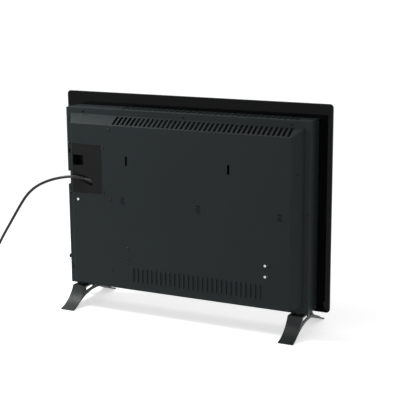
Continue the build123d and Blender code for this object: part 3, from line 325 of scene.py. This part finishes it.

# %% [markdown]
# ## Coatings and mouldings
# Most of this heater is either powder-coated sheet or moulded plastic. Both are a dark body colour
# under a thin rough skin, so one recipe serves: the numbers differ, not the steps. The colour goes
# from cloud to speckle to the lightened edge (wear and painted highlight) to dust, and the grain
# goes through a Bump node.

# %% The recipe for a coated or moulded surface
dust_colour = (0.30, 0.29, 0.27)
dust_roughness = 0.35
speck_strength = 0.22
speck_roughness = 0.08


def placed(tree, group, **values):
    """A copy of a shared effect in a material, with its own values."""
    node = tree.nodes.new("ShaderNodeGroup")
    node.node_tree = group
    for label, value in values.items():
        node.inputs[label.capitalize()].default_value = value
    return node


def mixed(tree, share, under, over):
    """One colour laid over another; colours are sockets or (r, g, b)."""
    node = tree.nodes.new("ShaderNodeMix")
    node.data_type = "RGBA"
    # A Mix node has sockets for every kind of data: 6 and 7 take colours, 2 gives the colour out
    for socket, value in ((node.inputs[6], under), (node.inputs[7], over)):
        if isinstance(value, tuple):
            socket.default_value = (*value, 1.0)
        else:
            tree.links.new(value, socket)
    tree.links.new(share, node.inputs[0])
    return node.outputs[2]


def shaded(colour, factor):
    """A colour made darker or lighter."""
    return tuple(channel * factor for channel in colour)


def coated(name, colour, roughness, grain_scale, grain_height, cloud_scale=9.0, cloud_depth=0.14,
           edge_wear_and_highlight_colour=None, edge_wear_and_highlight_share=0.5, dust=0.25, specular=0.5, coat=0.0, speck=1.9):
    """A coated sheet or a moulding, with grain, tone, edges lightened as wear and as a painted
    highlight, and dust.
    """
    material = bpy.data.materials.new(name)
    material.use_nodes = True
    tree = material.node_tree
    shader = tree.nodes["Principled BSDF"]
    shader.inputs["Specular IOR Level"].default_value = specular
    shader.inputs["Coat Weight"].default_value = coat
    shader.inputs["Coat Roughness"].default_value = 0.12
    grain = placed(tree, grain_group, scale=grain_scale)
    cloud = placed(tree, cloud_group, scale=cloud_scale)
    edge_wear_and_highlight = placed(tree, edge_wear_and_highlight_group)
    tint = mixed(tree, cloud.outputs["Tone"],
                 shaded(colour, 1 - cloud_depth), shaded(colour, 1 + cloud_depth))
    speck_share = maths(tree, "MULTIPLY", grain.outputs["Speckle"], speck_strength)
    speckled = mixed(tree, speck_share, tint, shaded(colour, speck))
    # Edges go towards the lighter edge colour, as wear and as a painted highlight.
    edge_lightening_share = maths(tree, "MULTIPLY", edge_wear_and_highlight.outputs["Mask"], edge_wear_and_highlight_share)
    edge_worn_and_highlit = mixed(tree, edge_lightening_share, speckled, edge_wear_and_highlight_colour or shaded(colour, 2.6))
    dirt = placed(tree, dust_group, amount=dust)
    final = mixed(tree, dirt.outputs["Mask"], edge_worn_and_highlit, dust_colour)
    tree.links.new(final, shader.inputs["Base Color"])
    rough = maths(tree, "MULTIPLY_ADD", grain.outputs["Speckle"], speck_roughness,
                  roughness - speck_roughness / 2)
    dust_rough = maths(tree, "MULTIPLY", dirt.outputs["Mask"], dust_roughness)
    tree.links.new(maths(tree, "ADD", rough, dust_rough), shader.inputs["Roughness"])
    bump = tree.nodes.new("ShaderNodeBump")
    bump.inputs["Strength"].default_value = 0.6
    bump.inputs["Distance"].default_value = grain_height
    tree.links.new(grain.outputs["Height"], bump.inputs["Height"])
    tree.links.new(edge_wear_and_highlight.outputs["Normal"], bump.inputs["Normal"])
    tree.links.new(bump.outputs["Normal"], shader.inputs["Normal"])
    return material


finishes = {}
# The lighter edge colours given below stand for wear and for a painted highlight along the edges.
finishes["sheet_grey"] = coated("powder_coated_sheet", (0.0062, 0.0102, 0.0112), 0.46, 900.0, 0.00030,
                                cloud_scale=5.0, edge_wear_and_highlight_colour=(0.045, 0.052, 0.056), dust=0.03,
                                specular=0.17, speck=3.0)
finishes["housing_black"] = coated("grained_housing", (0.0040, 0.0043, 0.0041), 0.55, 2600.0, 0.00008,
                                   edge_wear_and_highlight_colour=(0.02, 0.02, 0.02), dust=0.03, specular=0.13)
finishes["switch_black"] = coated("switch_moulding", (0.010, 0.010, 0.010), 0.36, 3200.0, 0.00003,
                                  dust=0.15)
finishes["rocker_black"] = coated("polished_rocker", (0.010, 0.010, 0.011), 0.22, 3200.0, 0.00002,
                                  dust=0.12, coat=0.3)
finishes["foot_grey"] = coated("painted_foot", (0.0085, 0.0118, 0.0126), 0.40, 1800.0, 0.00007,
                               cloud_scale=14.0, edge_wear_and_highlight_colour=(0.08, 0.085, 0.088), dust=0.08,
                               specular=0.26)
finishes["nylon_black"] = coated("matt_nylon", (0.020, 0.020, 0.020), 0.55, 2400.0, 0.00005)
finishes["nylon_white"] = coated("pale_nylon", (0.80, 0.80, 0.78), 0.38, 2400.0, 0.00003,
                                 cloud_depth=0.04, edge_wear_and_highlight_colour=(0.85, 0.85, 0.83), dust=0.05)
finishes["plug_black"] = coated("plug_moulding", (0.016, 0.016, 0.016), 0.50, 2200.0, 0.00007)
finishes["silicone_black"] = coated("cured_silicone", (0.012, 0.012, 0.012), 0.45, 600.0, 0.00010)
finishes["relay_black"] = coated("relay_case", (0.015, 0.015, 0.018), 0.35, 2400.0, 0.00003)
finishes["block_grey"] = coated("terminal_block_moulding", (0.32, 0.33, 0.33), 0.48, 2200.0, 0.00005,
                                edge_wear_and_highlight_colour=(0.5, 0.5, 0.5))
finishes["board_green"] = coated("solder_resist", (0.010, 0.085, 0.035), 0.28, 700.0, 0.00003, coat=0.3)
finishes["winding_yellow"] = coated("winding_tape", (0.52, 0.36, 0.05), 0.34, 900.0, 0.00004)
finishes["foil_blue"] = coated("dipped_capacitor", (0.05, 0.14, 0.42), 0.30, 500.0, 0.00006, coat=0.3)
finishes["grommet_red"] = coated("silicone_grommet", (0.24, 0.035, 0.025), 0.45, 1500.0, 0.00004)
finishes["ceramic_white"] = coated("steatite", (0.66, 0.63, 0.56), 0.55, 1900.0, 0.00006,
                                   cloud_depth=0.05, edge_wear_and_highlight_colour=(0.75, 0.72, 0.66))
print("coated and moulded finishes:", len(finishes))

# %% [markdown]
# ## Bare and plated metal
# Rolled sheet shows fine lines along the rolling direction, and zinc coating shows flat crystals.
# Stretching a noise texture with a Mapping node gives the lines; a Voronoi texture gives the
# crystals. Both change the roughness more than the colour.

# %% The recipe for metal
line_height = 0.00002
line_roughness = 0.18


def metal(name, colour, roughness, stretch=(60.0, 60.0, 60.0), spangle=0.0, tint=None):
    """Bare or plated metal with rolling lines, and with zinc crystals where spangle is above 0."""
    material = bpy.data.materials.new(name)
    material.use_nodes = True
    tree = material.node_tree
    shader = tree.nodes["Principled BSDF"]
    shader.inputs["Metallic"].default_value = 1.0
    mapping = tree.nodes.new("ShaderNodeMapping")
    mapping.inputs["Scale"].default_value = stretch
    tree.links.new(object_place(tree), mapping.inputs["Vector"])
    lines = noise(tree, mapping.outputs["Vector"], 18.0, 4.0, 0.6)
    cloud = placed(tree, cloud_group, scale=22.0)
    shade = mixed(tree, lines, shaded(colour, 0.82), shaded(colour, 1.12))
    cloud_share = maths(tree, "MULTIPLY", cloud.outputs["Tone"], 0.35)
    shade = mixed(tree, cloud_share, shade, tint or shaded(colour, 0.72))
    rough = maths(tree, "MULTIPLY_ADD", lines, line_roughness, roughness - line_roughness / 2)
    if spangle:
        cells = tree.nodes.new("ShaderNodeTexVoronoi")
        cells.inputs["Scale"].default_value = 130.0
        tree.links.new(object_place(tree), cells.inputs["Vector"])
        grey = tree.nodes.new("ShaderNodeRGBToBW")
        tree.links.new(cells.outputs["Color"], grey.inputs[0])
        crystal_share = maths(tree, "MULTIPLY", grey.outputs[0], spangle)
        shade = mixed(tree, crystal_share, shade, shaded(colour, 1.35))
        rough = maths(tree, "ADD", rough, maths(tree, "MULTIPLY", grey.outputs[0], 0.12))
    tree.links.new(shade, shader.inputs["Base Color"])
    tree.links.new(rough, shader.inputs["Roughness"])
    edge_wear_and_highlight = placed(tree, edge_wear_and_highlight_group)
    bump = tree.nodes.new("ShaderNodeBump")
    bump.inputs["Strength"].default_value = 0.5
    bump.inputs["Distance"].default_value = line_height
    tree.links.new(lines, bump.inputs["Height"])
    tree.links.new(edge_wear_and_highlight.outputs["Normal"], bump.inputs["Normal"])
    tree.links.new(bump.outputs["Normal"], shader.inputs["Normal"])
    return material


finishes["screw_dark"] = metal("dark_screw", (0.032, 0.029, 0.028), 0.28, stretch=(90.0, 90.0, 90.0))
finishes["nickel"] = metal("nickel_plate", (0.72, 0.69, 0.63), 0.20, stretch=(30.0, 30.0, 200.0))
finishes["galvanised"] = metal("galvanised_sheet", (0.52, 0.53, 0.54), 0.40, spangle=0.4)
finishes["aluminium"] = metal("extruded_aluminium", (0.80, 0.81, 0.82), 0.34,
                              stretch=(4.0, 120.0, 120.0))
finishes["element_steel"] = metal("heated_sheath", (0.42, 0.38, 0.34), 0.36, tint=(0.20, 0.13, 0.10))
finishes["bimetal_case"] = metal("cutout_cap", (0.66, 0.63, 0.56), 0.28)
print("metals added, finishes now:", len(finishes))

# %% [markdown]
# ## Glass
# The front is toughened glass with black enamel fired on its back, so from both sides it looks like
# a black mirror. The enamel stops a little short of the ground edge, where the glass shows its own
# green. It is opaque, so a dark glossy surface is right, and no light has to pass through it. The
# front is clear glass over the enamel, which a coat on the front face alone gives.

# %% The enamelled glass
glass_half_width = 0.350
glass_half_height = 0.24325
glass_middle_z = 0.28725
ground_edge = 0.0009
window_middle_x = 0.245
window_middle_z = 0.450
window_half_width = 0.023
window_half_height = 0.009
front_limit_y = -0.0235


def distance_from(tree, place, middle):
    """How far a coordinate lies from a middle value, on either side of it."""
    return maths(tree, "ABSOLUTE", maths(tree, "SUBTRACT", place, middle))


def enamelled_glass():
    """Black enamelled glass: smudged gloss, a green ground edge and a faint display window."""
    material = bpy.data.materials.new("enamelled_glass")
    material.use_nodes = True
    tree = material.node_tree
    shader = tree.nodes["Principled BSDF"]
    shader.inputs["Specular IOR Level"].default_value = 0.10
    place = tree.nodes.new("ShaderNodeSeparateXYZ")
    tree.links.new(object_place(tree), place.inputs[0])
    across = maths(tree, "SUBTRACT", glass_half_width, maths(tree, "ABSOLUTE", place.outputs["X"]))
    upright = maths(tree, "SUBTRACT", glass_half_height,
                    distance_from(tree, place.outputs["Z"], glass_middle_z))
    to_edge = maths(tree, "MINIMUM", across, upright)
    edge_mask = maths(tree, "LESS_THAN", to_edge, ground_edge)
    cloud = placed(tree, cloud_group, scale=3.5)
    enamel = mixed(tree, cloud.outputs["Tone"], (0.0016, 0.0017, 0.0020), (0.0026, 0.0028, 0.0032))
    colour = mixed(tree, maths(tree, "MULTIPLY", edge_mask, 0.8), enamel, (0.035, 0.06, 0.05))
    window_x = maths(tree, "LESS_THAN", distance_from(tree, place.outputs["X"], window_middle_x),
                     window_half_width)
    window_z = maths(tree, "LESS_THAN", distance_from(tree, place.outputs["Z"], window_middle_z),
                     window_half_height)
    front_side = maths(tree, "LESS_THAN", place.outputs["Y"], front_limit_y)
    tree.links.new(front_side, shader.inputs["Coat Weight"])
    shader.inputs["Coat Roughness"].default_value = 0.015
    window = maths(tree, "MULTIPLY", maths(tree, "MULTIPLY", window_x, window_z), front_side)
    colour = mixed(tree, maths(tree, "MULTIPLY", window, 0.7), colour, (0.013, 0.011, 0.012))
    tree.links.new(colour, shader.inputs["Base Color"])
    smear = noise(tree, object_place(tree), 14.0, 7.0, 0.65)
    smear = maths(tree, "MULTIPLY_ADD", smear, 0.10, 0.005)
    edge_rough = maths(tree, "MULTIPLY", edge_mask, 0.3)
    tree.links.new(maths(tree, "ADD", smear, edge_rough), shader.inputs["Roughness"])
    edge_wear_and_highlight = placed(tree, edge_wear_and_highlight_group)
    tree.links.new(edge_wear_and_highlight.outputs["Normal"], shader.inputs["Normal"])
    return material


finishes["glass_black"] = enamelled_glass()
finishes["display_face"] = coated("display_window", (0.008, 0.007, 0.008), 0.12, 400.0, 0.00001,
                                  dust=0.0)
print("glass added, finishes now:", len(finishes))

# %% [markdown]
# ## Cord jacket and woven sleeve
# A jacket is drawn smooth from soft plastic, with a faint waviness from its inner cores and a dull
# sheen. The leads inside the heater wear a woven glass-fibre sleeve that stands the heat.

# %% The cord's jacket
finishes["cord_black"] = coated("cord_jacket", (0.0065, 0.0065, 0.0070), 0.32, 1300.0, 0.00004,
                                cloud_scale=30.0, edge_wear_and_highlight_colour=(0.03, 0.03, 0.03), edge_wear_and_highlight_share=0.2,
                                dust=0.06, specular=0.28)
for piece in (mains_cord, bend_sleeve):
    piece.data.materials.append(finishes["cord_black"])
print("jacket added, finishes now:", len(finishes))


# %% The woven sleeve of the inner leads
def woven_sleeve():
    """Glass-fibre sleeve: two crossing waves make its weave."""
    material = bpy.data.materials.new("glass_fibre_sleeve")
    material.use_nodes = True
    tree = material.node_tree
    shader = tree.nodes["Principled BSDF"]
    shader.inputs["Roughness"].default_value = 0.75
    strands = []
    for slant in (0.7, -0.7):
        mapping = tree.nodes.new("ShaderNodeMapping")
        mapping.inputs["Rotation"].default_value = (slant, slant, slant)
        tree.links.new(object_place(tree), mapping.inputs["Vector"])
        wave = tree.nodes.new("ShaderNodeTexWave")
        wave.inputs["Scale"].default_value = 420.0
        wave.inputs["Distortion"].default_value = 0.6
        tree.links.new(mapping.outputs["Vector"], wave.inputs["Vector"])
        strands.append(wave.outputs["Fac"])
    weave = maths(tree, "MAXIMUM", *strands)
    strand_colour = mixed(tree, weave, (0.36, 0.34, 0.28), (0.66, 0.63, 0.56))
    tree.links.new(strand_colour, shader.inputs["Base Color"])
    bump = tree.nodes.new("ShaderNodeBump")
    bump.inputs["Distance"].default_value = 0.0002
    tree.links.new(weave, bump.inputs["Height"])
    tree.links.new(bump.outputs["Normal"], shader.inputs["Normal"])
    return material


finishes["lead_white"] = woven_sleeve()
print("woven sleeve added, finishes now:", len(finishes))

# %% [markdown]
# ## Dressing the solids
# Every solid names the slot that its finish belongs to, so the finishes are handed out from the
# record. The meshes themselves are left as they are.

# %% Hand out the finishes
for item in frame["record"]["subparts"]:
    node = frame["nodes"][item["node"]]
    for material_slot in node.material_slots:
        material_slot.material = finishes[item["material_slot"]]

# %% [markdown]
# ## Floor and light
# The heater stands on a plain pale floor. A small lamp close above the cord's side lights the upper
# edges, and a broad one behind the heater fills in. The background is white to the camera and to
# reflections, and softer as light.

# %% The floor
floor_reach = 40.0
floor_glow = 0.55
floor_mesh = bpy.data.meshes.new("floor")
floor_shape = bmesh.new()
bmesh.ops.create_grid(floor_shape, x_segments=1, y_segments=1, size=floor_reach)
floor_shape.to_mesh(floor_mesh)
floor_shape.free()
floor = bpy.data.objects.new("floor", floor_mesh)
scene.collection.objects.link(floor)
floor_material = bpy.data.materials.new("pale_floor")
floor_material.use_nodes = True
tree = floor_material.node_tree
floor_shader = tree.nodes["Principled BSDF"]
floor_shader.inputs["Base Color"].default_value = (0.86, 0.86, 0.86, 1.0)
floor_shader.inputs["Roughness"].default_value = 0.9
floor_shader.inputs["Specular IOR Level"].default_value = 0.1
glow = tree.nodes.new("ShaderNodeEmission")
glow.inputs["Color"].default_value = (1.0, 1.0, 1.0, 1.0)
light_path = tree.nodes.new("ShaderNodeLightPath")
seen = maths(tree, "MAXIMUM", light_path.outputs["Is Camera Ray"], light_path.outputs["Is Glossy Ray"])
tree.links.new(maths(tree, "MULTIPLY", seen, floor_glow), glow.inputs["Strength"])
both = tree.nodes.new("ShaderNodeAddShader")
tree.links.new(floor_shader.outputs[0], both.inputs[0])
tree.links.new(glow.outputs[0], both.inputs[1])
tree.links.new(both.outputs[0], tree.nodes["Material Output"].inputs["Surface"])
floor_mesh.materials.append(floor_material)
print("floor reaches", floor_reach, "m each way")

# %% The world: white to look at, softer as a light
world_light = 0.55
world = bpy.data.worlds.new("studio")
scene.world = world
world.use_nodes = True
tree = world.node_tree
background = tree.nodes["Background"]
background.inputs["Color"].default_value = (1.0, 1.0, 1.0, 1.0)
light_path = tree.nodes.new("ShaderNodeLightPath")
seen = maths(tree, "MAXIMUM", light_path.outputs["Is Camera Ray"], light_path.outputs["Is Glossy Ray"])
seen = maths(tree, "MAXIMUM", seen, light_path.outputs["Is Transmission Ray"])
level = maths(tree, "MULTIPLY_ADD", seen, 1.0 - world_light, world_light)
tree.links.new(level, background.inputs["Strength"])
print("world gives", world_light, "as light")

# %% The lamps
def soft_lamp(name, place, target, size, power):
    """A square area lamp aimed at a point."""
    data = bpy.data.lights.new(name, "AREA")
    data.shape = "SQUARE"
    data.size = size
    data.energy = power
    lamp = bpy.data.objects.new(name, data)
    way = Vector(target) - Vector(place)
    lamp.matrix_world = Matrix.Translation(place) @ way.to_track_quat("-Z", "Y").to_matrix().to_4x4()
    scene.collection.objects.link(lamp)
    print(name, "size", size, "power", power)


soft_lamp("upper_lamp", (0.72, 0.28, 1.05), (0.26, 0.03, 0.48), 0.30, 8.0)
soft_lamp("fill_lamp", (1.5, 2.6, 1.15), (0.0, 0.0, 0.4), 1.2, 9.0)
scene.view_settings.view_transform = "Standard"
